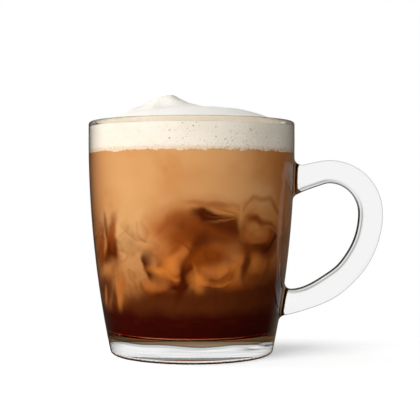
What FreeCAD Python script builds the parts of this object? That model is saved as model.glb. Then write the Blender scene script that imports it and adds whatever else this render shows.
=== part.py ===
"""A filled glass latte mug: clear pressed glass with a drop-shaped handle, dark coffee under
milky coffee, and a cap of milk foam that stands above the rim.

Frame: millimetres, +Z up. The origin is where the mug's axis meets the surface it stands on.
The handle points along +X.
"""
import FreeCAD, Part
import os
from math import cos, radians, sin, sqrt

Vector = FreeCAD.Vector

# Mug body: one gentle bow from foot to rim, widest a little below the rim
MUG_HEIGHT = 95.0
BELLY_RADIUS = 42.4
BELLY_BELOW_RIM = 7.0
FOOT_RADIUS = 33.2
WALL_THICKNESS = 2.8
FLOOR_THICKNESS = 9.2
FOOT_ROUNDING = 2.0
CAVITY_ROUNDING = 6.0
RIM_ROUNDING = 1.25

# Shallow hollow under the foot, so that the mug stands on a ring
HOLLOW_RADIUS = 24.0
HOLLOW_DEPTH = 1.6
HOLLOW_ROUNDING = 0.8

# Handle: its centre line rises from the wall, turns down over the shoulder and runs back to the
# wall in two wider arcs, the back and the tail
HANDLE_STANDOFF = 31.35
SHOULDER_BELOW_RIM = 37.4
SHOULDER_RADIUS = 17.0
RISE_ANGLE = 12.0
BACK_TURN = 49.4
TAIL_EASE = 1.19
LOWER_ROOT_HEIGHT = 20.8
HANDLE_THICKNESS = 9.35
HANDLE_WIDTH = 11.5
INNER_ROUNDING = 4.3
OUTER_ROUNDING = 2.6
ROOT_BLEND = 3.0
ROOT_DEPTH = 5.0
SWELL_RUN = 18.0
SWELL_THICKNESS = 2.0
SWELL_WIDTH = 1.6
STATION_ANGLE = 14.0

# Drink, in layers: each depth is measured at the wall
DARK_DEPTH = 8.3
FOAM_DEPTH = 10.4
FOAM_EDGE_BELOW_RIM = 2.2

# Foam cap: a broad dome with one lifted fold behind its middle
DOME_HEIGHT = 8.1
DOME_FULLNESS = 2.9
FOLD_HEIGHT = 7.2
FOLD_X = -9.0
FOLD_Y = 7.0
FOLD_LEFT_RUN = 24.0
FOLD_RIGHT_RUN = 19.0
FOLD_LEFT_SLOPE = 1.25
FOLD_RIGHT_SLOPE = 2.3
FOLD_FRONT_RUN = 9.0
FOLD_BACK_RUN = 24.0
FOAM_GRID_STEPS = 22

# Values that follow from the sizes above
BELLY_HEIGHT = MUG_HEIGHT - BELLY_BELOW_RIM
BOW_INSET = BELLY_RADIUS - FOOT_RADIUS
BOW_RADIUS = (BELLY_HEIGHT ** 2 + BOW_INSET ** 2) / (2 * BOW_INSET)
BOW_CENTRE_RADIUS = BELLY_RADIUS - BOW_RADIUS
SHOULDER_HEIGHT = MUG_HEIGHT - SHOULDER_BELOW_RIM
HANDLE_REACH = BELLY_RADIUS + HANDLE_STANDOFF
DARK_LEVEL = FLOOR_THICKNESS + DARK_DEPTH
FOAM_EDGE_LEVEL = MUG_HEIGHT - FOAM_EDGE_BELOW_RIM
COFFEE_LEVEL = FOAM_EDGE_LEVEL - FOAM_DEPTH
OVERRUN = 20.0


def wall_radius(height, inward=0.0):
    """Radius of the bowed side at a height, on a surface that lies inward of the outside."""
    arc_radius = BOW_RADIUS - inward
    return BOW_CENTRE_RADIUS + sqrt(arc_radius ** 2 - (height - BELLY_HEIGHT) ** 2)


def bowed_solid(bottom, top, inward=0.0):
    """Solid of revolution between two heights, with the bowed side lying inward of the outside."""
    middle = (bottom + top) / 2
    low, mid, high = [Vector(-wall_radius(z, inward), 0, z) for z in (bottom, middle, top)]
    edges = [
        Part.Arc(low, mid, high).toShape(),
        Part.makeLine(high, Vector(0, 0, top)),
        Part.makeLine(Vector(0, 0, top), Vector(0, 0, bottom)),
        Part.makeLine(Vector(0, 0, bottom), low),
    ]
    return Part.Face(Part.Wire(edges)).revolve(Vector(0, 0, 0), Vector(0, 0, 1), 360)


def rim_edges(solid, height):
    """Circular edges of a solid of revolution that lie at a height."""
    return [edge for edge in solid.Edges
            if abs(edge.BoundBox.ZMin - height) < 1e-4 and abs(edge.BoundBox.ZMax - height) < 1e-4]


def make_cavity():
    """Space inside the mug, from its floor to well above the rim."""
    space = bowed_solid(FLOOR_THICKNESS, MUG_HEIGHT + OVERRUN, WALL_THICKNESS)
    return space.makeFillet(CAVITY_ROUNDING, rim_edges(space, FLOOR_THICKNESS))


def make_foot_hollow():
    """Shallow dome that is cut out of the underside."""
    sphere_radius = (HOLLOW_RADIUS ** 2 + HOLLOW_DEPTH ** 2) / (2 * HOLLOW_DEPTH)
    return Part.makeSphere(sphere_radius, Vector(0, 0, HOLLOW_DEPTH - sphere_radius))


def handle_section(path_point, outward, thickness, width):
    """Closed outline across the handle, rounder on the inner side than on the outer side.

    A thickness above the usual one is added on the inner side.
    """
    half_thickness, half_width = thickness / 2, width / 2
    centre = path_point - outward * ((thickness - HANDLE_THICKNESS) / 2)
    side = Vector(0, 1, 0)

    def at(out, across):
        return centre + outward * out + side * across

    def corner(out_sign, across_sign, rounding):
        """Ends and middle of one rounded corner, going from the flat across to the flat along."""
        out = out_sign * (half_thickness - rounding)
        across = across_sign * (half_width - rounding)
        diagonal = rounding * sqrt(0.5)
        return (at(out_sign * half_thickness, across),
                at(out + out_sign * diagonal, across + across_sign * diagonal),
                at(out, across_sign * half_width))

    outer_right = corner(1, 1, OUTER_ROUNDING)
    inner_right = corner(-1, 1, INNER_ROUNDING)[::-1]
    inner_left = corner(-1, -1, INNER_ROUNDING)
    outer_left = corner(1, -1, OUTER_ROUNDING)[::-1]
    edges = []
    corners = [outer_right, inner_right, inner_left, outer_left]
    for this, following in zip(corners, corners[1:] + corners[:1]):
        edges.append(Part.Arc(*this).toShape())
        edges.append(Part.makeLine(this[-1], following[0]))
    return Part.Wire(edges)


def direction(angle):
    """Unit vector in the handle's plane, at an angle above the horizontal."""
    return Vector(cos(radians(angle)), 0, sin(radians(angle)))


def turn(centre, radius, start_angle, end_angle):
    """Places and outward directions along an arc in the handle's plane, without its start."""
    steps = max(2, round(abs(end_angle - start_angle) / STATION_ANGLE))
    angles = [start_angle + (end_angle - start_angle) * i / steps for i in range(1, steps + 1)]
    return [(centre + direction(a) * radius, direction(a)) for a in angles]


def handle_arcs(back_radius):
    """Centres and radii of the shoulder, the back and the tail, which join tangentially."""
    tail_radius = back_radius * TAIL_EASE
    shoulder = Vector(HANDLE_REACH - SHOULDER_RADIUS, 0, SHOULDER_HEIGHT)
    back = shoulder + direction(0) * (SHOULDER_RADIUS - back_radius)
    tail = back + direction(-BACK_TURN) * (back_radius - tail_radius)
    return (shoulder, SHOULDER_RADIUS), (back, back_radius), (tail, tail_radius)


def tail_angle(tail, tail_radius, depth):
    """Angle at which the tail has reached a depth inside the wall, or half a turn if it can't."""
    angle = -BACK_TURN
    end = tail + direction(angle) * tail_radius
    while end.x > wall_radius(end.z) - depth and angle > -180:
        angle -= 0.1
        end = tail + direction(angle) * tail_radius
    return angle


def fitted_back_radius():
    """Radius of the back that brings the tail to the wall at the lower root's height."""
    low, high = SHOULDER_RADIUS, 4 * SHOULDER_RADIUS
    while high - low > 0.01:
        middle = (low + high) / 2
        centre, radius = handle_arcs(middle)[2]
        meeting = centre + direction(tail_angle(centre, radius, 0)) * radius
        if meeting.z > LOWER_ROOT_HEIGHT:
            low = middle
        else:
            high = middle
    return low


def handle_stations():
    """Places and outward directions along the whole handle, from the upper root to the lower."""
    shoulder, back, tail = handle_arcs(fitted_back_radius())
    start_angle = 90 + RISE_ANGLE
    outward = direction(start_angle)
    rise_end = shoulder[0] + outward * SHOULDER_RADIUS
    along_rise = direction(RISE_ANGLE)
    rise_length = (rise_end.x - wall_radius(rise_end.z) + ROOT_DEPTH) / along_rise.x
    rise = [(rise_end - along_rise * (rise_length * share), outward) for share in (1, 0.66, 0.33, 0)]
    return (rise + turn(*shoulder, start_angle, 0) + turn(*back, 0, -BACK_TURN)
            + turn(*tail, -BACK_TURN, tail_angle(*tail, ROOT_DEPTH)))


def make_handle():
    """Solid handle bar, wider at both roots, thicker at the upper one, with buried ends."""
    sections = []
    for place, outward in handle_stations():
        from_wall = place.x - wall_radius(place.z)
        swell = min(1.0, max(0.0, 1 - from_wall / SWELL_RUN)) ** 2
        extra_thickness = SWELL_THICKNESS * swell if place.z > SHOULDER_HEIGHT else 0
        sections.append(handle_section(place, outward, HANDLE_THICKNESS + extra_thickness,
                                       HANDLE_WIDTH + SWELL_WIDTH * swell))
    return Part.makeLoft(sections, True, False)


def root_edges(solid, handle):
    """Edges where the handle meets the outside of the wall."""
    found = []
    for edge in solid.Edges:
        middle = edge.valueAt((edge.FirstParameter + edge.LastParameter) / 2)
        off_wall = abs(sqrt(middle.x ** 2 + middle.y ** 2) - wall_radius(middle.z))
        on_handle = handle.distToShape(Part.Vertex(middle))[0] < 1e-3
        if off_wall < 1e-3 and on_handle:
            found.append(edge)
    return found


def make_mug(cavity):
    """Glass body and handle in one piece."""
    body = bowed_solid(0, MUG_HEIGHT)
    body = body.makeFillet(FOOT_ROUNDING, rim_edges(body, 0))
    handle = make_handle()
    solid = body.fuse(handle)
    solid = solid.makeFillet(ROOT_BLEND, root_edges(solid, handle))
    solid = solid.cut(cavity)
    solid = solid.makeFillet(RIM_ROUNDING, rim_edges(solid, MUG_HEIGHT))
    solid = solid.cut(make_foot_hollow())
    hollow_edge = [edge for edge in rim_edges(solid, 0) if edge.BoundBox.XMax < HOLLOW_RADIUS + 0.1]
    return solid.makeFillet(HOLLOW_ROUNDING, hollow_edge)


def slab(bottom, top):
    """Wide block between two heights."""
    reach = BELLY_RADIUS + OVERRUN
    return Part.makeBox(2 * reach, 2 * reach, top - bottom, Vector(-reach, -reach, bottom))


def fold_lift(x, y):
    """Height that the lifted fold adds to the foam at a place."""
    across = x - FOLD_X
    along = y - FOLD_Y
    across_share = 1 - abs(across) / (FOLD_LEFT_RUN if across < 0 else FOLD_RIGHT_RUN)
    along_share = 1 - abs(along) / (FOLD_FRONT_RUN if along < 0 else FOLD_BACK_RUN)
    if across_share <= 0 or along_share <= 0:
        return 0.0
    slope = FOLD_LEFT_SLOPE if across < 0 else FOLD_RIGHT_SLOPE
    return FOLD_HEIGHT * across_share ** slope * sin(radians(90 * along_share)) ** 2


def foam_height(x, y):
    """Height of the foam's top surface at a place."""
    share = sqrt(x ** 2 + y ** 2) / wall_radius(FOAM_EDGE_LEVEL, WALL_THICKNESS)
    return FOAM_EDGE_LEVEL + DOME_HEIGHT * (1 - share ** DOME_FULLNESS) + fold_lift(x, y)


def make_foam(cavity):
    """Foam from the coffee up to its domed and folded top."""
    reach = BELLY_RADIUS
    places = [reach * (2 * i / FOAM_GRID_STEPS - 1) for i in range(FOAM_GRID_STEPS + 1)]
    surface = Part.BSplineSurface()
    surface.interpolate([[Vector(x, y, foam_height(x, y)) for y in places] for x in places])
    drop = FOAM_EDGE_LEVEL - COFFEE_LEVEL + DOME_HEIGHT + FOLD_HEIGHT + OVERRUN
    under_surface = surface.toShape().extrude(Vector(0, 0, -drop))
    return cavity.common(slab(COFFEE_LEVEL, MUG_HEIGHT + OVERRUN)).common(under_surface)


def make_parts():
    """Every piece by its node name."""
    cavity = make_cavity()
    return {
        "glass_mug": make_mug(cavity),
        "dark_coffee": cavity.common(slab(0, DARK_LEVEL)),
        "milky_coffee": cavity.common(slab(DARK_LEVEL, COFFEE_LEVEL)),
        "milk_foam": make_foam(cavity),
    }


def export(name, shape):
    """Write one solid as a STEP file, and say what it measures."""
    if len(shape.Solids) != 1 or not shape.isValid():
        raise ValueError(f"{name} is not one sound solid")
    solid = shape.Solids[0]
    solid.exportStep(os.path.join("parts", name + ".step"))
    box = solid.BoundBox
    print(f"{name}: {solid.Volume / 1000:.1f} cm3, {len(solid.Faces)} faces, "
          f"x {box.XMin:.1f} to {box.XMax:.1f}, z {box.ZMin:.1f} to {box.ZMax:.1f}")


os.makedirs("parts", exist_ok=True)
for node, piece in make_parts().items():
    export(node, piece)
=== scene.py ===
"""A glass mug of layered milky coffee under a cap of milk foam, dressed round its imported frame."""

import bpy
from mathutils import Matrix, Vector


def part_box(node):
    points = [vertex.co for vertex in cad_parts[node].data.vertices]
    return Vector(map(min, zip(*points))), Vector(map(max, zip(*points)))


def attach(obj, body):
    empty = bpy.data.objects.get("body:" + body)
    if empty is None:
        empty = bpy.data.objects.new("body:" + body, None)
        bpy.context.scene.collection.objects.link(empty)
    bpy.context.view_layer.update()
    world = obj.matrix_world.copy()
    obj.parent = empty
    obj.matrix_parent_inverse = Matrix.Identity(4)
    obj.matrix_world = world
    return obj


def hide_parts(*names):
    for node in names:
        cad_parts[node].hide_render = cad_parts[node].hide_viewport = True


bl_info = {
    "name": "Filled latte mug",
    "version": (1, 0, 0),
    "blender": (4, 5, 0),
    "location": "3D View > Sidebar > Latte",
    "description": "Dresses a glass mug of layered coffee and milk foam",
    "category": "Object",
}

import math
import random

import bmesh
import bpy
from mathutils import Vector, noise

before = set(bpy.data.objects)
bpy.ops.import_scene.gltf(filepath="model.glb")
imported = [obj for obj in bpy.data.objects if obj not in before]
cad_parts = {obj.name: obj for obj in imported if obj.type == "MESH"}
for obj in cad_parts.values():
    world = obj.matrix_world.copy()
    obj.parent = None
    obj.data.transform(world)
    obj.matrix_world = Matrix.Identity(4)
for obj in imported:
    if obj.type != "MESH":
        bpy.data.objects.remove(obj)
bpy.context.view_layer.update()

MM = 0.001
CLOSE = 1e-6
_, MUG_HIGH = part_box("glass_mug")
DARK_LOW, DARK_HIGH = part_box("dark_coffee")
MILKY_LOW, MILKY_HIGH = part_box("milky_coffee")
FOAM_LOW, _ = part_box("milk_foam")

# The mug's wall bows outwards from the foot up to the belly.
BELLY_RADIUS = MUG_HIGH.y
BELLY_HEIGHT = MUG_HIGH.z - 7.0 * MM
FOOT_RADIUS = 33.2 * MM
WALL_THICKNESS = 2.8 * MM
CAVITY_ROUNDING = 6.0 * MM
BOW_RADIUS = ((BELLY_RADIUS - FOOT_RADIUS) ** 2 + BELLY_HEIGHT**2) / (2 * (BELLY_RADIUS - FOOT_RADIUS))

# The foam's dome, the fold that lies across it and the low swell beside the fold.
FOAM_EDGE = MUG_HIGH.z - 2.2 * MM
DOME_HEIGHT = 8.1 * MM
DOME_FULLNESS = 2.9
FOLD_HEIGHT = 6.9 * MM
FOLD_X = -9.0 * MM
FOLD_Y = 7.0 * MM
FOLD_LEFT_RUN = 29.0 * MM
FOLD_RIGHT_RUN = 19.0 * MM
FOLD_FRONT_RUN = 9.0 * MM
FOLD_BACK_RUN = 24.0 * MM
FOLD_TIP = 1.7 * MM
FOLD_STRAY = 7.0 * MM
ASIDE_SHIFT = 9.5
BACK_SHIFT = 6.3
SWELL_HEIGHT = 0.5 * MM
SWELL_X = 15.0 * MM
SWELL_RUN = 8.0 * MM

# The larger pits in the foam's wall: the place round the mug, the height above the coffee and the radius.
PITS = (
    (-8.2, 7.0, 0.46), (-3.4, 9.6, 0.36), (-1.6, 7.6, 0.30), (0.6, 8.6, 0.40), (1.8, 10.0, 0.28),
    (-0.6, 6.6, 0.32), (-3.2, 4.0, 0.38), (9.0, 8.2, 0.28), (17.5, 6.0, 0.32), (23.0, 7.4, 0.28),
)
BUBBLE_SEED = 7

# How finely the new pieces are divided.
DRINK_STEPS = 128
DARK_ROWS = 8
MILKY_ROWS = 40
FOAM_STEPS = 288
FOAM_ROWS = 16
FOAM_RINGS = 64
ROUNDING_STEPS = 8

# A place round the mug is given in millimetres along a circle of this radius, from the front to the right.
AROUND = 40.0

# The handle's loop is an oval in the plane through the mug's axis, in millimetres.
LOOP_X, LOOP_Z = 46.0, 49.0
LOOP_HALF_WIDTH, LOOP_HALF_HEIGHT = 27.5, 24.5

FLOOR_SIZE = 3.0
FLOOR_DROP = 0.2 * MM
LAMP_AIM = (0.0, 0.0, 0.05)
KEY_PLACE, KEY_SIDE = (-0.70, -0.80, 0.65), 0.7
SIDE_PLACE, SIDE_SIDE = (-0.80, 0.30, 0.45), 0.5
FILL_PLACE, FILL_SIDE = (0.75, -0.75, 0.45), 0.7
CAMERA_PLACE = (0.0, -0.433, 0.065)
CAMERA_LENS = 89.8
CAMERA_SENSOR = 36.0
CAMERA_SHIFT = (0.0438, -0.0357)
CAMERA_NEAREST = 0.01


def wall_radius(height, inward):
    """The wall's radius at a height, that far in from its outer face."""
    bow_centre = BELLY_RADIUS - BOW_RADIUS
    return bow_centre + math.sqrt((BOW_RADIUS - inward) ** 2 - (height - BELLY_HEIGHT) ** 2)


# ---------------------------------------------------------------- materials


class Number:
    """A number that varies over a surface. Maths on it adds Math nodes."""

    def __init__(self, look, socket):
        self.look = look
        self.socket = socket

    def __add__(self, other):
        return self.look.maths("ADD", self, other)

    __radd__ = __add__

    def __sub__(self, other):
        return self.look.maths("SUBTRACT", self, other)

    def __rsub__(self, other):
        return self.look.maths("SUBTRACT", other, self)

    def __mul__(self, other):
        return self.look.maths("MULTIPLY", self, other)

    __rmul__ = __mul__

    def __truediv__(self, other):
        return self.look.maths("DIVIDE", self, other)

    def __rtruediv__(self, other):
        return self.look.maths("DIVIDE", other, self)

    def __pow__(self, other):
        return self.look.maths("POWER", self, other)

    def __rpow__(self, other):
        return self.look.maths("POWER", other, self)

    def __neg__(self):
        return self.look.maths("MULTIPLY", self, -1.0)

    def __abs__(self):
        return self.look.maths("ABSOLUTE", self)

    def root(self):
        return self.look.maths("SQRT", self)

    def least(self, other):
        return self.look.maths("MINIMUM", self, other)

    def most(self, other):
        return self.look.maths("MAXIMUM", self, other)

    def ease(self, low, high, first=0.0, last=1.0):
        """Runs smoothly from first to last as the number goes from low to high."""
        node = self.look.node(
            "ShaderNodeMapRange",
            {"interpolation_type": "SMOOTHSTEP"},
            {"Value": self, "From Min": low, "From Max": high, "To Min": first, "To Max": last},
        )
        return Number(self.look, node.outputs["Result"])


class Look:
    """A material or a world being made of nodes."""

    def __init__(self, owner):
        self.owner = owner
        owner.use_nodes = True
        self.tree = owner.node_tree
        self.tree.nodes.clear()

    def node(self, kind, settings=None, sockets=None):
        """Adds a node, sets it, and feeds its sockets with values or links."""
        made = self.tree.nodes.new(kind)
        for name, value in (settings or {}).items():
            setattr(made, name, value)
        for name, value in (sockets or {}).items():
            self.feed(made.inputs[name], value)
        return made

    def feed(self, socket, value):
        if isinstance(value, Number):
            value = value.socket
        if isinstance(value, bpy.types.NodeSocket):
            self.tree.links.new(value, socket)
        elif socket.type == "RGBA" and len(value) == 3:
            socket.default_value = (*value, 1.0)
        else:
            socket.default_value = value

    def maths(self, operation, *values):
        node = self.node("ShaderNodeMath", {"operation": operation}, dict(enumerate(values)))
        return Number(self, node.outputs[0])

    def place(self):
        """The position on the piece, in millimetres."""
        spot = self.node("ShaderNodeTexCoord").outputs["Object"]
        sockets = {"Vector": spot, "Scale": 1.0 / MM}
        return self.node("ShaderNodeVectorMath", {"operation": "SCALE"}, sockets).outputs["Vector"]

    def ray(self, fact):
        """What is known of the ray that meets the surface, such as Is Camera Ray."""
        return Number(self, self.node("ShaderNodeLightPath").outputs[fact])

    def parts(self, vector):
        """A vector's three numbers."""
        split = self.node("ShaderNodeSeparateXYZ", sockets={"Vector": vector})
        return [Number(self, output) for output in split.outputs]

    def vector(self, *numbers):
        return self.node("ShaderNodeCombineXYZ", sockets=dict(enumerate(numbers))).outputs[0]

    def noise(self, vector, scale, detail=2.0, roughness=0.5, output="Factor", distortion=0.0):
        """Soft noise: a number, or three of them as a colour."""
        sockets = {
            "Vector": vector,
            "Scale": scale,
            "Detail": detail,
            "Roughness": roughness,
            "Distortion": distortion,
        }
        made = self.node("ShaderNodeTexNoise", {"noise_dimensions": "3D", "normalize": True}, sockets)
        if output == "Color":
            return made.outputs["Color"]
        return Number(self, made.outputs[0])

    def cells(self, vector, scale):
        """The distance to the nearest of many scattered points."""
        made = self.node("ShaderNodeTexVoronoi", {"feature": "F1"}, {"Vector": vector, "Scale": scale})
        return Number(self, made.outputs["Distance"])

    def mix(self, share, first, last, blend="MIX"):
        """first where share is 0 and last where it is 1, as a colour."""
        made = self.node("ShaderNodeMix", {"data_type": "RGBA", "blend_type": blend})
        self.feed(made.inputs["Factor"], share)
        self.feed(made.inputs[6], first)
        self.feed(made.inputs[7], last)
        return made.outputs[2]

    def tinted(self, share, colour, tint):
        """The colour, multiplied by the tint as far as share says."""
        return self.mix(share, colour, tint, "MULTIPLY")

    def blend(self, share, first, last):
        """One shader where share is 0 and the other where it is 1."""
        return self.node("ShaderNodeMixShader", sockets={0: share, 1: first, 2: last}).outputs[0]

    def bump(self, height, depth, strength):
        sockets = {"Height": height, "Distance": depth, "Strength": strength}
        return self.node("ShaderNodeBump", sockets=sockets).outputs["Normal"]

    def principled(self, sockets):
        return self.node("ShaderNodeBsdfPrincipled", sockets=sockets).outputs[0]

    def glow(self, strength):
        """White light."""
        sockets = {"Color": (1.0, 1.0, 1.0), "Strength": strength}
        return self.node("ShaderNodeEmission", sockets=sockets).outputs[0]

    def finished(self, shader, output="ShaderNodeOutputMaterial"):
        """The material or world, with that shader on its surface."""
        self.node(output, sockets={"Surface": shader})
        return self.owner


def new_look(name):
    return Look(bpy.data.materials.new(name))


# ---------------------------------------------------------------- pieces


def add_piece(name, shape, material, replaced=(), sharp=40.0):
    """Turns a finished bmesh into a piece that rides on the mug."""
    bmesh.ops.remove_doubles(shape, verts=shape.verts, dist=CLOSE)
    bmesh.ops.recalc_face_normals(shape, faces=shape.faces)
    mesh = bpy.data.meshes.new(name)
    shape.to_mesh(mesh)
    shape.free()
    mesh.polygons.foreach_set("use_smooth", [True] * len(mesh.polygons))
    mesh.set_sharp_from_angle(angle=math.radians(sharp))
    mesh.materials.append(material)
    piece = bpy.data.objects.new(name, mesh)
    bpy.context.scene.collection.objects.link(piece)
    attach(piece, "root")
    if replaced:
        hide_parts(*replaced)
    return piece


def spun(points, steps):
    """A closed round shape from the points of half its section."""
    shape = bmesh.new()
    verts = [shape.verts.new((radius, 0.0, height)) for radius, height in points]
    edges = [shape.edges.new(pair) for pair in zip(verts, verts[1:])]
    bmesh.ops.spin(
        shape, geom=verts + edges, cent=(0, 0, 0), axis=(0, 0, 1), dvec=(0, 0, 0),
        angle=2 * math.pi, steps=steps, use_merge=True, use_duplicate=False,
    )
    bmesh.ops.remove_doubles(shape, verts=shape.verts, dist=CLOSE)
    return shape


def wall_points(low, high, overlap, rows):
    """Points up the mug's inner wall between two heights, that far into the glass."""
    heights = [low + (high - low) * row / rows for row in range(rows + 1)]
    return [(wall_radius(height, WALL_THICKNESS) + overlap, height) for height in heights]


# ---------------------------------------------------------------- glass


def outside_wall(x, y, z):
    """How far a place lies outside the mug's outer wall, in millimetres."""
    bow = BOW_RADIUS / MM
    wall = (bow * bow - (z - BELLY_HEIGHT / MM) ** 2.0).root() + (BELLY_RADIUS / MM - bow)
    return (x * x + y * y).root() - wall


def painted_edge_shade(look, x, y, z, handle, foot, settings):
    """Painted shade: how dark the glass is where it turns away, standing in for the dark room seen in it
    there. The handle's inner side has two lines instead of one.
    """
    facing = Number(look, look.node("ShaderNodeLayerWeight", sockets={"Blend": 0.5}).outputs["Facing"])
    loop = (((x - LOOP_X) / LOOP_HALF_WIDTH) ** 2.0 + ((z - LOOP_Z) / LOOP_HALF_HEIGHT) ** 2.0).root()
    inner = loop.ease(1.08, 0.92)
    root = abs(y).ease(9.0, 5.0) * x.ease(27.0, 32.0)
    spared = (1.0 - root * 0.85) * (1.0 - foot * z.ease(3.5, 1.5, 0.6, 0.9))
    body = facing.ease(settings.edge_start, 0.95) * spared
    lines = facing.ease(0.50, 0.66).most(facing.ease(0.14, 0.28) * facing.ease(0.46, 0.34) * 0.75)
    strap = facing.ease(0.45, 0.85) * 0.75 * (1.0 - inner) + lines * inner
    return body * (1.0 - handle) + strap * handle


def painted_foot_refraction(look, spot, settings):
    """Painted refraction and shade in the thick foot: streaks, greyer towards the top, and the bands where
    the drink's lower edge shows through it.
    """
    x, y, z = look.parts(spot)
    height = z + (look.noise(spot, 0.05, 1.0) - 0.5) * 2.0
    ripple = look.noise(look.vector(x * 0.03, y * 0.03, z * 0.9), 1.0, 2.0, 0.6)
    streak = ripple.ease(0.38, 0.56, settings.streak, 1.0)
    tint = look.mix(height.ease(7.4, 5.6), settings.foot_shade[:], (1.0, 1.0, 1.0))
    tint = look.mix(streak, settings.foot_shade[:], tint)
    corner = x.ease(14.0, 26.0) * z.ease(3.6, 5.0)
    lines = look.noise(look.vector(0.0, y * 0.05, z * 1.1 + x * 0.22), 1.0, 2.0, 0.6)
    tint = look.mix(lines.ease(0.46, 0.54) * corner, tint, settings.painted_foot_line[:])
    faint_line = height.ease(6.9, 6.5) * height.ease(5.9, 6.3)
    tint = look.mix(faint_line * 0.6, tint, settings.foot_shade[:])
    tint = look.mix(height.ease(7.4, 7.7), tint, settings.painted_foot_band[:])
    dark_line = height.ease(7.9, 7.5) * height.ease(6.9, 7.3)
    tint = look.mix(dark_line, tint, settings.painted_foot_line[:])
    return look.mix(z.ease(9.0, 9.3), tint, settings.painted_red_refraction[:])


def glass_look(settings):
    """Clear glass that lets the lamps through, with painted shade where it turns away and under the lip,
    and painted refraction of the drink and streaks in its foot.
    """
    look = new_look("clear_glass")
    spot = look.place()
    x, y, z = look.parts(spot)
    out = outside_wall(x, y, z)
    handle = out.ease(0.6, 2.0)
    foot = z.ease(10.9, 10.5) * (1.0 - handle) * out.ease(-2.4, -1.2)
    lip = z.ease(92.2, 93.2) * (1.0 - handle)
    face_on = look.mix(handle, settings.colour[:], settings.handle_colour[:])
    # Painted shade darkens the glass where it turns away.
    edge = painted_edge_shade(look, x, y, z, handle, foot, settings)
    tint = look.mix(edge, face_on, settings.edge_shade_colour[:])
    # The foot is painted with the drink's refraction and with shade.
    tint = look.tinted(foot, tint, painted_foot_refraction(look, spot, settings))
    # Painted shade under the lip, standing in for the foam's shaded edge seen through the rounded rim.
    tint = look.tinted(lip, tint, settings.lip_shade[:])
    glass = look.principled(
        {"Base Color": tint, "Roughness": 0.0, "IOR": settings.bending, "Transmission Weight": 1.0}
    )
    clear = look.node("ShaderNodeBsdfTransparent", sockets={"Color": settings.shadow_colour[:]})
    return look.finished(look.blend(look.ray("Is Shadow Ray"), glass, clear.outputs[0]))


# ---------------------------------------------------------------- coffee


def filled_profile(low, high, overlap, rows):
    """Half the section of what fills the mug between two heights."""
    return [(0.0, low), *wall_points(low, high, overlap, rows), (0.0, high)]


def round_lower_corner(shape, low):
    """Rounds the corner between the drink's flat bottom and its wall."""
    corner = [
        edge for edge in shape.edges
        if all(abs(vert.co.z - low) < CLOSE and vert.co.xy.length > MM for vert in edge.verts)
    ]
    bmesh.ops.bevel(
        shape, geom=corner, offset=CAVITY_ROUNDING, offset_type="OFFSET", affect="EDGES",
        segments=ROUNDING_STEPS, profile=0.5, material=-1,
    )


class Swirls:
    """Milk turning in coffee, painted stroke by stroke round the drink.

    A stroke is given by its colour's name in the settings, its place as (round the mug, height), its half
    lengths and its turn in degrees. Lengths are in millimetres.
    """

    def __init__(self, look, settings):
        self.look = look
        self.settings = settings
        self.spot = look.place()
        self.x, self.y, self.plain_height = look.parts(self.spot)
        self.plain_around = look.maths("ARCTAN2", self.x, -self.y) * AROUND
        broad = look.parts(look.noise(self.spot, 0.07, 1.0, 0.5, "Color"))
        fine = look.parts(look.noise(self.spot, 0.17, 1.0, 0.5, "Color"))
        self.around = self.drifted(self.plain_around, broad[0], fine[0])
        self.height = self.drifted(self.plain_height, broad[2], fine[2])
        self.colour = None

    def drifted(self, number, broad, fine):
        """A place that wanders with the noise."""
        return number + (broad - 0.5) * self.settings.broad_drift + (fine - 0.5) * self.settings.fine_drift

    def paint(self, colour):
        """A colour of the settings by its name. Any other colour stays as it is."""
        return getattr(self.settings, colour)[:] if isinstance(colour, str) else colour

    def mixed(self, share, first, last):
        return self.look.mix(share, self.paint(first), self.paint(last))

    def reach(self, at, size, turn=0.0):
        """0 at an oval's middle and 1 at its rim, with two directions across it."""
        angle = math.radians(turn)
        right = self.around - at[0]
        up = self.height - at[1]
        along = (right * math.cos(angle) + up * math.sin(angle)) / size[0]
        across = (up * math.cos(angle) - right * math.sin(angle)) / size[1]
        return (along * along + across * across).root(), along, across

    def lay(self, mask, colour, strength=1.0):
        """Lays a colour over the painting where the mask is."""
        if strength != 1.0:
            mask = mask * strength
        self.colour = self.mixed(mask, self.colour, colour)

    def blot(self, colour, at, size, turn=0.0, soft=0.35, strength=1.0):
        """A soft oval."""
        reach, _, _ = self.reach(at, size, turn)
        self.lay(reach.ease(1.0 + soft, 1.0 - soft), colour, strength)

    def billow(self, colour, shade, at, size, turn=0.0, soft=0.12, fade=0.9, strength=1.0, folds=0.0):
        """A rounded billow that hangs down: shaded at its lower rim, and lost in what is above it."""
        reach, along, across = self.reach(at, size, turn)
        body = reach.ease(1.0 + soft, 1.0 - soft) * across.ease(fade, fade - 1.1)
        rim = reach.ease(0.45, 1.0)
        if folds:
            wave = self.look.maths("SINE", reach * folds + along * 1.5)
            rim = rim.most(wave.ease(0.0, 0.95) * reach.ease(0.3, 0.6) * 0.8)
        self.lay(body, self.mixed(rim, colour, shade), strength)

    def fan(self, pale, dark, at, size, strength):
        """Streaks that spread from a point."""
        right = self.around - at[0]
        up = self.height - at[1]
        angle = self.look.maths("ARCTAN2", up, right)
        ray = self.look.noise(self.look.vector(angle * 2.4, 0.0, 0.0), 1.0, 2.0, 0.6)
        reach = ((right / size[0]) ** 2.0 + (up / size[1]) ** 2.0).root()
        mask = reach.ease(1.15, 0.5) * reach.ease(0.0, 0.2) * up.ease(-3.0, 1.0)
        self.lay(mask * ray.ease(0.48, 0.64), pale, strength)
        self.lay(mask * ray.ease(0.48, 0.34), dark, strength)

    def rim(
        self, colour, at, size, turn=0.0, inner=0.10, outer=0.10, low=-0.2, high=0.6, strength=1.0, side=0.0
    ):
        """A line along part of an oval's rim."""
        reach, along, across = self.reach(at, size, turn)
        line = reach.ease(1.0 - inner, 1.0) * reach.ease(1.0 + outer, 1.0)
        part = (across + along * side).ease(low, high)
        self.lay(line * part, colour, strength)


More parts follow.
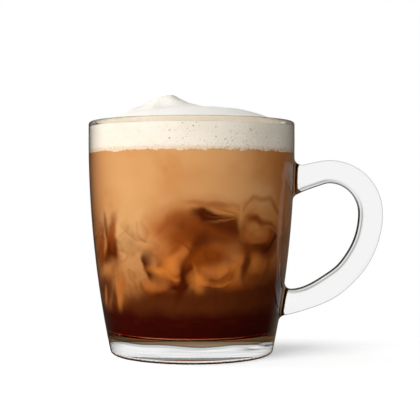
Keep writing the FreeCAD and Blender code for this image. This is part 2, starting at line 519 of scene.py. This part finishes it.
def paint_ground(look, swirls):
    """Milky coffee, pale at the top and deeper lower down and towards the sides; the deeper right side is
    painted shade.
    """
    cloud = look.noise(swirls.spot, 0.06, 3.0, 0.55)
    swirls.colour = swirls.mixed(cloud.ease(0.4, 0.75), "tan", "amber")
    swirls.lay(swirls.height.ease(62.0, 28.0), "toffee", 0.85)
    around = swirls.plain_around
    # Painted shade: the right side, away from the key lamp, is deeper.
    swirls.lay(around.ease(14.0, 43.0) * around.ease(115.0, 80.0), "umber", 0.85)
    swirls.lay(around.ease(-27.0, -58.0) * around.ease(-115.0, -80.0), "rust", 0.55)
    swirls.blot("tan", (9.0, 67.5), (18.0, 8.0), soft=0.8, strength=0.8)
    swirls.blot("straw", (-25.0, 57.0), (11.0, 17.0), soft=0.8, strength=0.7)


def paint_far_folds(look, swirls):
    """Thin folds of dark coffee, strongest round the sides and the back."""
    spot = look.vector(swirls.x, swirls.y, swirls.height * 1.4)
    layers = look.noise(spot, 0.045, 2.0, 0.5, distortion=0.6) * 7.0
    fold = look.maths("FRACT", layers)
    back = abs(swirls.plain_around).ease(44.0, 58.0, 0.28, 0.8)
    belt = swirls.height.ease(60.0, 50.0) * back
    swirls.lay(belt * fold.ease(0.0, 0.9) * fold.ease(1.0, 0.94), "rust")


def paint_cavity(swirls):
    """The dark coffee that shows under the big fold at the front."""
    swirls.blot("umber", (1.0, 61.0), (10.0, 3.4), turn=4.0, soft=0.8, strength=0.6)
    swirls.blot("umber", (-12.0, 54.5), (6.0, 5.4), turn=30.0, soft=0.8, strength=0.6)
    swirls.blot("copper", (14.0, 43.0), (27.0, 17.4), turn=-6.0, soft=0.25, strength=0.85)
    swirls.blot("rust", (16.0, 46.0), (23.0, 12.8), turn=-8.0, soft=0.25, strength=0.85)
    swirls.blot("rust", (-5.5, 53.0), (7.6, 5.4), turn=30.0, soft=0.5, strength=0.7)
    swirls.blot("copper", (-10.0, 47.0), (9.0, 8.0), turn=35.0, soft=0.6, strength=0.5)
    swirls.blot("deep", (6.4, 58.2), (5.6, 3.0), turn=-8.0, soft=0.4, strength=0.95)
    swirls.blot("deep", (13.0, 54.2), (12.0, 3.0), turn=-16.0, soft=0.6, strength=0.75)
    swirls.blot("deep", (4.0, 49.0), (12.0, 5.5), turn=-6.0, soft=0.8, strength=0.5)
    swirls.blot("deep", (29.0, 44.2), (12.0, 4.6), turn=4.0, soft=0.7, strength=0.75)


def paint_petals(swirls):
    """The lip of the big fold, and the petals to the right of it."""
    swirls.blot("amber", (14.4, 59.2), (8.6, 1.7), turn=-17.0, soft=0.5)
    swirls.blot("rust", (8.0, 62.0), (8.0, 0.9), turn=-8.0, soft=0.9, strength=0.5)
    swirls.blot("amber", (31.0, 59.6), (10.0, 4.0), turn=-10.0, soft=0.5, strength=0.6)
    swirls.blot("tan", (25.5, 65.0), (9.5, 4.6), turn=-6.0, soft=0.7, strength=0.85)
    swirls.blot("amber", (21.6, 54.0), (2.3, 6.5), turn=2.0, soft=0.6, strength=0.85)
    swirls.blot("tan", (20.6, 60.0), (0.55, 3.4), turn=4.0, soft=0.7, strength=0.7)
    swirls.rim(
        "rust", (31.0, 54.5), (11.5, 9.4),
        turn=-10.0, inner=0.25, outer=0.2, low=0.1, high=0.9, strength=0.5,
    )
    swirls.blot("rust", (24.8, 57.5), (3.6, 0.8), turn=38.0, soft=0.6, strength=0.25)
    swirls.fan("amber", "rust", (20.0, 56.0), (15.0, 9.5), 0.55)


def paint_right_billow(swirls):
    """The billow under the petals."""
    swirls.billow(
        "copper", "rust", (29.0, 50.5), (9.6, 6.4), turn=-8.0, soft=0.16, fade=3.0, strength=0.8, folds=9.0
    )
    swirls.blot("amber", (27.0, 52.6), (4.6, 1.5), turn=-20.0, soft=0.8, strength=0.6)
    swirls.rim(
        "deep", (29.0, 50.0), (10.4, 6.9),
        turn=-8.0, inner=0.26, outer=0.16, low=0.5, high=-0.5, strength=0.85, side=-0.6,
    )
    swirls.rim("amber", (30.5, 44.5), (12.0, 9.2), outer=0.12, low=-0.1, high=0.5, strength=0.45, side=1.2)
    swirls.blot("deep", (28.4, 55.2), (4.0, 1.3), turn=-15.0, soft=0.7, strength=0.45)
    swirls.blot("deep", (28.5, 45.0), (7.0, 2.2), turn=4.0, soft=0.6, strength=0.8)


def paint_lower_coffee(swirls):
    """Dark coffee under the billows. Its top is lower on the left."""
    lower = swirls.height - (swirls.x + 12.0).least(0.0) * 0.52 - swirls.x.most(0.0) * 0.06
    swirls.lay(lower.ease(37.5, 26.5), "brown")


def paint_middle_billows(swirls):
    """The billows that hang down into the dark coffee at the front."""
    swirls.blot("copper", (14.0, 41.0), (16.0, 4.8), turn=-4.0, soft=0.7, strength=0.75)
    swirls.blot("rust", (22.0, 44.6), (6.0, 2.0), soft=0.7, strength=0.7)
    swirls.blot("rust", (-4.4, 46.6), (5.0, 4.0), turn=20.0, soft=0.6, strength=0.8)
    swirls.rim(
        "deep", (-7.6, 40.8), (12.2, 10.8), turn=20.0, inner=0.4, outer=0.14, low=0.5, high=-0.3, side=0.5
    )
    swirls.billow("copper", "rust", (-6.0, 41.4), (9.8, 9.0), turn=25.0, soft=0.1, folds=11.0)
    swirls.blot("ember", (-9.4, 38.0), (6.0, 2.4), turn=40.0, soft=0.8, strength=0.7)
    swirls.blot("ember", (-13.6, 35.7), (5.0, 1.5), turn=-14.0, soft=0.8, strength=0.6)
    swirls.rim(
        "ember", (-6.0, 41.4), (9.0, 8.2),
        turn=25.0, inner=0.22, outer=0.06, low=0.2, high=-0.5, strength=0.35,
    )
    swirls.blot("rust", (-5.0, 46.0), (5.6, 1.3), turn=34.0, soft=0.7, strength=0.6)
    swirls.billow("copper", "rust", (19.5, 38.0), (9.4, 9.4), soft=0.2, strength=0.9)
    swirls.blot("amber", (16.4, 41.0), (3.2, 5.6), turn=-14.0, soft=0.9, strength=0.5)
    swirls.blot("deep", (-2.5, 35.2), (2.5, 10.6), turn=-24.0, soft=0.5)
    swirls.blot("deep", (4.0, 45.6), (3.4, 4.6), turn=-24.0, soft=0.7, strength=0.7)
    swirls.billow(
        "copper", "rust", (10.0, 38.2), (10.0, 8.2), soft=0.1, fade=0.7, strength=0.95, folds=10.0
    )
    swirls.blot("deep", (0.2, 38.2), (1.3, 4.0), turn=-20.0, soft=0.7, strength=0.75)
    swirls.blot("ember", (1.9, 32.4), (3.6, 2.4), turn=-20.0, soft=0.7, strength=0.75)
    swirls.rim(
        "ember", (10.2, 38.0), (9.4, 7.8),
        inner=0.22, outer=0.06, low=0.2, high=-0.5, strength=0.45, side=0.7,
    )
    swirls.blot("rust", (5.6, 41.0), (8.6, 3.8), turn=12.0, soft=0.6, strength=0.95)
    swirls.blot("ember", (14.6, 36.6), (5.0, 1.5), turn=24.0, soft=0.8, strength=0.5)
    swirls.billow(
        "copper", "rust", (-15.6, 31.4), (6.5, 4.6), turn=10.0, soft=0.16, fade=0.8, strength=0.75
    )
    swirls.billow("copper", "rust", (30.0, 38.0), (6.8, 6.0), soft=0.2, strength=0.8)
    swirls.blot("ember", (27.4, 38.4), (2.6, 3.4), turn=10.0, soft=0.8, strength=0.7)
    swirls.blot("deep", (23.4, 38.0), (1.7, 5.8), turn=-4.0, soft=0.6, strength=0.8)
    swirls.blot("ember", (19.3, 37.6), (1.5, 4.0), turn=-4.0, soft=0.8, strength=0.5)


def paint_leaf(swirls):
    """The dark leaf on the left and the wisps under it."""
    swirls.blot("rust", (-46.0, 41.0), (4.6, 4.6), soft=0.6, strength=0.6)
    swirls.blot("rust", (-42.0, 43.0), (8.0, 9.6), turn=-12.0, soft=0.4, strength=0.8)
    swirls.blot("rust", (-39.0, 41.0), (6.0, 4.0), turn=10.0, soft=0.5, strength=0.75)
    swirls.blot("deep", (-37.4, 43.4), (3.6, 6.4), turn=-18.0, soft=0.4, strength=0.85)
    swirls.blot("deep", (-40.6, 53.0), (1.2, 5.0), turn=6.0, soft=0.5, strength=0.55)
    swirls.blot("amber", (-42.6, 46.5), (1.0, 5.0), turn=-14.0, soft=0.6, strength=0.7)
    swirls.blot("amber", (-43.0, 36.2), (7.0, 2.6), turn=24.0, soft=0.7, strength=0.75)
    swirls.blot("deep", (-41.6, 41.0), (3.0, 3.2), soft=0.6, strength=0.6)
    swirls.blot("deep", (-46.5, 28.0), (7.6, 5.0), turn=24.0, soft=0.5, strength=0.8)
    swirls.blot("copper", (-34.0, 26.5), (2.6, 6.5), turn=-18.0, soft=0.5, strength=0.9)
    swirls.blot("copper", (-48.0, 25.5), (1.5, 4.8), turn=-22.0, soft=0.4, strength=0.9)
    swirls.blot("deep", (-40.0, 23.0), (2.2, 6.0), turn=-20.0, soft=0.6, strength=0.8)
    swirls.blot("rust", (-35.6, 51.6), (2.6, 6.4), turn=-14.0, soft=0.6, strength=0.85)


def paint_shade_and_depths(look, swirls):
    """Painted shade on the right, thin silk and grain, black coffee at the bottom, and a painted pale patch
    behind the handle's lower root that stands in for light through the root.
    """
    around, height = swirls.plain_around, swirls.height
    # Painted shade on the right side, away from the key lamp.
    swirls.lay(around.ease(18.0, 34.0) * around.ease(90.0, 60.0) * height.ease(54.0, 44.0), "deep", 0.3)
    silk = look.noise(look.vector(swirls.around * 0.22, height * 0.05, 0.0), 1.0, 1.0, 0.5)
    swirls.lay(silk.ease(0.5, 0.7) * height.ease(44.0, 30.0), "black", 0.15)
    grain = look.noise(swirls.spot, 0.11, 1.0, 0.5, distortion=1.2)
    swirls.lay(grain.ease(0.5, 0.75) * height.ease(62.0, 52.0), "deep", 0.22)
    swirls.lay(height.ease(23.5, 17.0), "black")
    # Painted light: a pale patch behind the handle's lower root, where light comes through the root.
    swirls.blot("straw", (64.0, 24.0), (7.0, 8.5), soft=0.6, strength=0.65)


def paint_milky(look, swirls):
    """Light milky coffee at the top, billows below it and dark coffee under them."""
    paint_ground(look, swirls)
    paint_far_folds(look, swirls)
    paint_cavity(swirls)
    paint_petals(swirls)
    paint_right_billow(swirls)
    paint_lower_coffee(swirls)
    paint_middle_billows(swirls)
    paint_leaf(swirls)
    paint_shade_and_depths(look, swirls)
    return swirls.colour


def paint_dark(look, swirls):
    """Black coffee with faint red streaks, and a thin red line where it thins out over the floor."""
    around, height = swirls.plain_around, swirls.plain_height
    streaks = look.noise(look.vector(around * 0.3, around * 0.1, height), 0.5, 2.0, 0.6)
    colour = swirls.mixed(streaks.ease(0.45, 0.7) * height.ease(12.0, 16.0), "black", "red")
    line = height.ease(9.4, 9.8) * height.ease(10.6, 10.0)
    return swirls.mixed(line, colour, "red_line")


def coffee_look(name, settings, paint):
    """Matt coffee in the colours that paint lays."""
    look = new_look(name)
    colour = paint(look, Swirls(look, settings))
    body = look.principled({"Base Color": colour, "Roughness": 0.6, "Specular IOR Level": 0.0})
    return look.finished(body)


# ---------------------------------------------------------------- foam


def smooth_step(value, low, high):
    """0 below low and 1 above high."""
    share = min(1.0, max(0.0, (value - low) / (high - low)))
    return share * share * (3.0 - 2.0 * share)


def fold_lift(x, y):
    """How far the fold stands above the dome. It runs out gently to the left and steeply to the right."""
    away = math.hypot(x - FOLD_X, FOLD_TIP)
    left = max(0.0, 1.0 - away / FOLD_LEFT_RUN) ** 1.15
    right = max(0.0, 1.0 - away / FOLD_RIGHT_RUN) ** 1.9
    across = left + (right - left) * smooth_step(x, FOLD_X - FOLD_TIP, FOLD_X + 2 * FOLD_TIP)
    run = FOLD_FRONT_RUN if y < FOLD_Y else FOLD_BACK_RUN
    return FOLD_HEIGHT * across * math.exp(-1.6 * ((y - FOLD_Y) / run) ** 2)


def stray(spot, shift):
    """How far the fold wanders at a place. The shift picks another part of the noise."""
    return noise.noise(spot * 0.09 + Vector((shift, shift, shift))) * FOLD_STRAY


def foam_height(x, y):
    """The height of the foam's top."""
    share = min(1.0, math.hypot(x, y) / wall_radius(FOAM_EDGE, WALL_THICKNESS))
    spot = Vector((x, y, 0.0)) / MM
    lift = fold_lift(x + stray(spot, ASIDE_SHIFT) * 0.3, y + stray(spot, BACK_SHIFT))
    dome = FOAM_EDGE + DOME_HEIGHT * (1.0 - share**DOME_FULLNESS) + lift
    soft = noise.noise(spot * 0.13) * 0.30 * MM + noise.noise(spot * 0.45) * 0.07 * MM
    swell = SWELL_HEIGHT * math.exp(-((x - SWELL_X) ** 2 + y * y) / SWELL_RUN**2)
    return dome + swell + soft * smooth_step(1.0 - share, 0.0, 0.2)


def foam_shape(settings):
    """The foam down to the coffee: a smooth wall against the glass, a ragged lower edge and a soft top."""
    low = FOAM_LOW.z
    points = [(0.0, low), *wall_points(low, FOAM_EDGE, settings.overlap, FOAM_ROWS)]
    edge = points[-1][0]
    points += [(edge * (1.0 - ring / FOAM_RINGS), FOAM_EDGE) for ring in range(1, FOAM_RINGS + 1)]
    shape = spun(points, FOAM_STEPS)
    for vert in shape.verts:
        x, y, z = vert.co
        if z > FOAM_EDGE - CLOSE:
            vert.co.z = foam_height(x, y)
        elif z < low + CLOSE and vert.co.xy.length > edge / 2:
            spot = Vector((x, y, 0.0)) / MM
            hang = noise.noise(spot * 0.9) * 0.5 + noise.noise(spot * 0.16) * 0.3 + 0.12
            vert.co.z = low - max(0.0, hang) * settings.ragged
    return shape


def bubble_shape(settings):
    """Small bubbles in the foam's wall, thickest low down and towards the handle, and a few pits."""
    shape = bmesh.new()
    chance = random.Random(BUBBLE_SEED)
    low, high = FOAM_LOW.z, FOAM_EDGE

    def add_bubble(around, height, size):
        radius = wall_radius(height, WALL_THICKNESS) + settings.overlap - size * 0.55
        angle = around / AROUND
        place = (radius * math.sin(angle), -radius * math.cos(angle), height)
        ball = bmesh.ops.create_icosphere(shape, subdivisions=1, radius=size)["verts"]
        bmesh.ops.translate(shape, verts=ball, vec=place)

    for _ in range(settings.bubbles):
        around = chance.uniform(-math.pi, math.pi) * AROUND
        if chance.random() < 0.4:
            around = chance.gauss(24.0, 17.0)
        rise = chance.random() ** 5.0 if chance.random() < 0.75 else chance.random() ** 1.4
        size = chance.uniform(0.11, 0.26) * MM * (1.6 if chance.random() < 0.06 else 1.0)
        add_bubble(around, low + 0.1 * MM + rise * (high - low - 1.6 * MM), size)
    for around, rise, size in PITS:
        add_bubble(around, low + rise * MM, size * MM)
    return shape


def bubble_look(settings):
    """The shaded hollow of a bubble against the glass."""
    look = new_look("foam_bubbles")
    cloud = look.noise(look.place(), 0.9, 1.0)
    colour = look.mix(cloud.ease(0.35, 0.65), settings.bubble_dark[:], settings.bubble_pale[:])
    return look.finished(look.principled({"Base Color": colour, "Roughness": 0.4}))


def foam_look(settings):
    """Cream foam with small specks in its wall, coffee soaked into its lower edge, a whiter top darkened by
    painted shade, and painted shade on its highest fold.
    """
    look = new_look("milk_foam")
    spot = look.place()
    _, _, z = look.parts(spot)
    cloud = look.noise(spot, 0.12, 3.0, 0.6)
    grain = look.noise(spot, 1.3, 2.0, 0.6)
    cells = look.cells(spot, 1.5)
    colour = look.mix(cloud.ease(0.3, 0.7), settings.colour[:], settings.shade[:])
    specks = cells.ease(0.32, 0.12) * look.noise(spot, 0.25, 1.0).ease(0.48, 0.62) * z.ease(93.5, 90.0)
    # Painted shade: the top above the lip is darker than the wall, where the lamps fall on it more
    # strongly.
    colour = look.mix(z.ease(93.6, 95.0), colour, settings.top[:])
    # Painted shade on the face of the highest fold.
    colour = look.mix(z.ease(100.2, 102.4) * 0.8, colour, settings.painted_peak_shade[:])
    colour = look.mix(specks * 0.5, colour, settings.bubble_pale[:])
    soaked = z.ease(85.4, 82.6) + (grain - 0.5) * 0.9
    colour = look.mix(soaked.ease(0.35, 1.1) * 0.85, colour, settings.warm[:])
    body = look.principled(
        {
            "Base Color": colour,
            "Roughness": 0.75,
            "Specular IOR Level": 0.15,
            "Normal": look.bump(grain + cells, 0.2 * MM, 0.5),
        }
    )
    return look.finished(body)


# ---------------------------------------------------------------- stage


def add_lamp(name, place, side, power):
    """A square lamp that faces the mug and is seen only by the light it gives."""
    data = bpy.data.lights.new(name, "AREA")
    data.shape = "SQUARE"
    data.size = side
    data.energy = power
    lamp = bpy.data.objects.new(name, data)
    lamp.location = place
    lamp.rotation_euler = (Vector(LAMP_AIM) - Vector(place)).to_track_quat("-Z", "Y").to_euler()
    lamp.visible_camera = False
    lamp.visible_transmission = False
    lamp.visible_glossy = False
    bpy.context.scene.collection.objects.link(lamp)


def floor_look(settings):
    """A pale floor that shows white round the mug and keeps its shadow."""
    look = new_look("pale_floor")
    camera = look.ray("Is Camera Ray")
    through = look.ray("Is Transmission Ray")
    turned = settings.turned_glow ** look.ray("Glossy Depth")
    x, y, _ = look.parts(look.place())
    behind = y.most(0.0)
    far = (x * x + behind * behind * 8.0 + y * y).root().ease(64.0, 160.0)
    clear = (x * x + y * y).root().ease(30.0, 64.0)
    body = look.node("ShaderNodeBsdfDiffuse", sockets={"Color": settings.floor_colour[:]}).outputs[0]
    glow = look.glow(settings.floor_glow * (camera + through * clear * turned))
    lit = look.node("ShaderNodeAddShader", sockets={0: body, 1: glow}).outputs[0]
    white = look.glow(camera + through * turned)
    seen = (camera + through).least(1.0)
    return look.finished(look.blend(seen, body, look.blend(far, lit, white)))


def studio_look(settings):
    """White for the camera and through the glass, a dim room mirrored in it and even light for the rest."""
    look = Look(bpy.data.worlds.new("studio"))
    camera = look.ray("Is Camera Ray")
    through = look.ray("Is Transmission Ray")
    glossy = look.ray("Is Glossy Ray") * (1.0 - through)
    first = 1.0 - look.ray("Diffuse Depth").least(1.0)
    turned = settings.turned_glow ** look.ray("Glossy Depth")
    across, away, up = look.parts(look.node("ShaderNodeTexCoord").outputs["Generated"])
    level = abs(up).ease(0.35, 0.85, 1.0, settings.high_glow)
    sides = across.ease(-0.5, 0.4, settings.left_shine, settings.right_shine)
    mirrored = away.ease(0.45, 0.85) * sides + settings.shine
    rest = (1.0 - camera - through - glossy) * settings.ambient
    strength = settings.ambient * (1.0 - first) + first * (
        camera + through * level * turned + glossy * mirrored + rest
    )
    colour = look.mix(glossy, (1.0, 1.0, 1.0), settings.shine_colour[:])
    sky = look.node("ShaderNodeBackground", sockets={"Color": colour, "Strength": strength})
    return look.finished(sky.outputs[0], "ShaderNodeOutputWorld")


def add_floor(settings):
    """A wide floor just under the foot."""
    shape = bmesh.new()
    bmesh.ops.create_grid(shape, x_segments=1, y_segments=1, size=FLOOR_SIZE)
    bmesh.ops.translate(shape, verts=shape.verts, vec=(0.0, 0.0, -FLOOR_DROP))
    mesh = bpy.data.meshes.new("floor")
    shape.to_mesh(mesh)
    shape.free()
    mesh.materials.append(floor_look(settings))
    floor = bpy.data.objects.new("floor", mesh)
    bpy.context.scene.collection.objects.link(floor)
    floor.visible_glossy = False


def set_camera():
    data = bpy.data.cameras.new("camera")
    data.lens = CAMERA_LENS
    data.sensor_width = CAMERA_SENSOR
    data.shift_x, data.shift_y = CAMERA_SHIFT
    data.clip_start = CAMERA_NEAREST
    camera = bpy.data.objects.new("camera", data)
    bpy.context.scene.collection.objects.link(camera)
    camera.location = CAMERA_PLACE
    camera.rotation_euler = (math.pi / 2, 0.0, 0.0)
    bpy.context.scene.camera = camera


# ---------------------------------------------------------------- settings


def colour_setting(name, description, default):
    return bpy.props.FloatVectorProperty(
        name=name, description=description, default=default, size=3, min=0.0, max=1.0, subtype="COLOR"
    )


def number_setting(name, description, default, low=0.0, high=10.0):
    return bpy.props.FloatProperty(name=name, description=description, default=default, min=low, max=high)


def length_setting(name, description, default):
    return bpy.props.FloatProperty(name=name, description=description, default=default, unit="LENGTH")


def power_setting(name, description, default):
    return bpy.props.FloatProperty(name=name, description=description, default=default, unit="POWER")


class LATTE_PG_glass(bpy.types.PropertyGroup):
    colour: colour_setting("Glass", "Tint of clear glass seen face on", (1.0, 1.0, 1.0))
    handle_colour: colour_setting("Handle", "Tint of the handle seen face on", (0.96, 0.965, 0.96))
    # Edge is painted shade where the glass turns away, not a tint of the glass.
    edge_shade_colour: colour_setting("Edge", "Tint of the glass where it turns away", (0.0, 0.0, 0.0))
    edge_start: number_setting("Edge start", "How far glass turns away before it darkens", 0.42, 0.0, 0.94)
    # Lip shade is painted shade seen through the rounded lip, not a tint of the glass.
    lip_shade: colour_setting("Lip shade", "Tint of the rounded lip", (0.86, 0.80, 0.71))
    # The foot's colours are painted refraction of the drink above and painted shade, not tints of the glass
    # itself.
    foot_shade: colour_setting("Foot shade", "Tint of the streaks in the foot", (0.33, 0.35, 0.34))
    painted_foot_band: colour_setting("Foot band", "Tint just under the drink", (0.105, 0.050, 0.017))
    painted_red_refraction: colour_setting("Foot glow", "Tint where the drink's edge shows through", (0.90, 0.16, 0.03))
    painted_foot_line: colour_setting("Foot line", "Thin dark line under that band", (0.03, 0.015, 0.008))
    shadow_colour: colour_setting("Shadow", "Lamp light that the glass lets through", (0.96, 0.96, 0.96))
    streak: number_setting("Streaks", "How faint the streaks in the foot are", 0.5, 0.0, 1.0)
    bending: number_setting("Refraction", "Index of refraction", 1.5, 1.0, 2.0)


class LATTE_PG_coffee(bpy.types.PropertyGroup):
    overlap: length_setting("Reach", "How far the drink reaches into the wall", 0.08 * MM)
    broad_drift: number_setting("Broad drift", "How far swirls wander, in millimetres", 4.5)
    fine_drift: number_setting("Fine drift", "How ragged swirls are, in millimetres", 2.6)
    tan: colour_setting("Tan", "Milky coffee at the top", (0.66, 0.345, 0.135))
    straw: colour_setting("Straw", "Milky coffee where it is palest", (0.70, 0.41, 0.165))
    ember: colour_setting("Ember", "The brightest part of a billow", (0.72, 0.225, 0.036))
    amber: colour_setting("Amber", "Milky coffee lower down", (0.56, 0.235, 0.065))
    toffee: colour_setting("Toffee", "Milky coffee near the bottom", (0.44, 0.170, 0.042))
    copper: colour_setting("Copper", "The billows", (0.50, 0.150, 0.030))
    rust: colour_setting("Rust", "Coffee with a little milk", (0.25, 0.050, 0.004))
    brown: colour_setting("Brown", "The coffee under the billows", (0.100, 0.021, 0.004))
    deep: colour_setting("Deep", "Coffee with hardly any milk", (0.070, 0.009, 0.001))
    umber: colour_setting("Umber", "Milky coffee where it is deepest", (0.46, 0.155, 0.032))
    black: colour_setting("Black", "Coffee without milk", (0.040, 0.0026, 0.0012))
    red: colour_setting("Red", "Faint streaks in the dark coffee", (0.055, 0.004, 0.001))
    red_line: colour_setting("Red line", "Thin coffee over the floor", (0.45, 0.03, 0.005))


class LATTE_PG_foam(bpy.types.PropertyGroup):
    overlap: length_setting("Reach", "How far the foam reaches into the wall", 0.14 * MM)
    ragged: length_setting("Ragged", "How far the foam's lower edge hangs down in places", 1.5 * MM)
    bubbles: bpy.props.IntProperty(
        name="Bubbles", description="Number of small bubbles against the glass", default=900, min=0
    )
    bubble_dark: colour_setting("Bubble hollow", "The darkest bubbles", (0.24, 0.17, 0.10))
    bubble_pale: colour_setting("Bubble", "The palest bubbles", (0.72, 0.62, 0.47))
    colour: colour_setting("Foam", "Milk foam", (0.92, 0.865, 0.765))
    shade: colour_setting("Cloud", "Milk foam where it is denser", (0.88, 0.815, 0.705))
    # Top and the highest fold's colour are painted shade on the foam's upper surfaces.
    top: colour_setting("Top", "The foam above the lip", (0.80, 0.78, 0.735))
    painted_peak_shade: colour_setting("Peak", "The foam's highest fold", (0.69, 0.66, 0.60))
    warm: colour_setting("Warm", "Foam that coffee has soaked into", (0.80, 0.62, 0.42))


class LATTE_PG_stage(bpy.types.PropertyGroup):
    floor_colour: colour_setting("Floor", "The floor's colour", (0.8, 0.8, 0.8))
    floor_glow: number_setting("Glow", "What the camera adds to the floor", 0.4)
    ambient: number_setting("Ambient", "Light from all round", 0.35)
    left_shine: number_setting("Left shine", "How bright the room shows at the left rim", 0.04)
    right_shine: number_setting("Right shine", "How bright the room shows at the right rim", 0.16)
    turned_glow: number_setting("Turned glow", "The share of light left at each turn inside the glass", 0.4)
    high_glow: number_setting("High glow", "Brightness overhead, seen through the glass", 0.45)
    shine: number_setting("Shine", "How bright the room shows in the glass", 0.02)
    shine_colour: colour_setting("Shine colour", "The room's colour in the glass", (1.0, 0.80, 0.58))
    key_power: power_setting("Key", "Power of the main lamp", 14.1)
    side_power: power_setting("Side", "Power of the lamp behind on the left", 4.2)
    fill_power: power_setting("Fill", "Power of the weak lamp on the right", 1.3)


# ---------------------------------------------------------------- operators


class LATTE_OT_glass(bpy.types.Operator):
    """Gives the mug its clear glass"""

    bl_idname = "latte.dress_glass"
    bl_label = "Dress the glass"

    def execute(self, context):
        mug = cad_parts["glass_mug"]
        mug.data.materials.clear()
        mug.data.materials.append(glass_look(context.scene.latte_glass))
        return {"FINISHED"}


class LATTE_OT_coffee(bpy.types.Operator):
    """Pours the dark coffee and the milky coffee above it"""

    bl_idname = "latte.pour_coffee"
    bl_label = "Pour the coffee"

    def execute(self, context):
        settings = context.scene.latte_coffee
        overlap = settings.overlap
        low = DARK_LOW.z - overlap
        dark = spun(filled_profile(low, DARK_HIGH.z, overlap, DARK_ROWS), DRINK_STEPS)
        round_lower_corner(dark, low)
        dark_look = coffee_look("dark_coffee", settings, paint_dark)
        add_piece("dark_coffee_fill", dark, dark_look, ("dark_coffee",))
        milky = spun(filled_profile(MILKY_LOW.z, MILKY_HIGH.z, overlap, MILKY_ROWS), DRINK_STEPS)
        milky_look = coffee_look("milky_coffee", settings, paint_milky)
        add_piece("milky_coffee_fill", milky, milky_look, ("milky_coffee",))
        return {"FINISHED"}


class LATTE_OT_foam(bpy.types.Operator):
    """Spoons the milk foam on top"""

    bl_idname = "latte.spoon_foam"
    bl_label = "Spoon the foam"

    def execute(self, context):
        settings = context.scene.latte_foam
        add_piece("milk_foam_cap", foam_shape(settings), foam_look(settings), ("milk_foam",))
        add_piece("foam_bubbles", bubble_shape(settings), bubble_look(settings), ())
        return {"FINISHED"}


class LATTE_OT_stage(bpy.types.Operator):
    """Sets the floor, the lamps and the camera"""

    bl_idname = "latte.set_stage"
    bl_label = "Set the stage"

    def execute(self, context):
        settings = context.scene.latte_stage
        add_floor(settings)
        context.scene.world = studio_look(settings)
        add_lamp("key", KEY_PLACE, KEY_SIDE, settings.key_power)
        add_lamp("side", SIDE_PLACE, SIDE_SIDE, settings.side_power)
        add_lamp("fill", FILL_PLACE, FILL_SIDE, settings.fill_power)
        set_camera()
        context.scene.view_settings.view_transform = "Standard"
        return {"FINISHED"}


class LATTE_PT_panel(bpy.types.Panel):
    """Lists the steps that dress the mug"""

    bl_idname = "LATTE_PT_panel"
    bl_label = "Latte"
    bl_space_type = "VIEW_3D"
    bl_region_type = "UI"
    bl_category = "Latte"

    def draw(self, context):
        for group in SETTINGS:
            box = self.layout.box()
            owner = getattr(context.scene, group)
            for name in owner.bl_rna.properties.keys():
                if name not in ("rna_type", "name"):
                    box.prop(owner, name)
        for operator in OPERATORS:
            self.layout.operator(operator.bl_idname)


OPERATORS = (LATTE_OT_glass, LATTE_OT_coffee, LATTE_OT_foam, LATTE_OT_stage)
SETTINGS = {
    "latte_glass": LATTE_PG_glass,
    "latte_coffee": LATTE_PG_coffee,
    "latte_foam": LATTE_PG_foam,
    "latte_stage": LATTE_PG_stage,
}


def register():
    for group in (*SETTINGS.values(), *OPERATORS, LATTE_PT_panel):
        bpy.utils.register_class(group)
    for name, group in SETTINGS.items():
        setattr(bpy.types.Scene, name, bpy.props.PointerProperty(type=group))


def unregister():
    for name in SETTINGS:
        delattr(bpy.types.Scene, name)
    for group in (LATTE_PT_panel, *reversed(OPERATORS), *SETTINGS.values()):
        bpy.utils.unregister_class(group)


def main():
    register()
    bpy.ops.latte.dress_glass()
    bpy.ops.latte.pour_coffee()
    bpy.ops.latte.spoon_foam()
    bpy.ops.latte.set_stage()


if __name__ == "__main__":
    main()
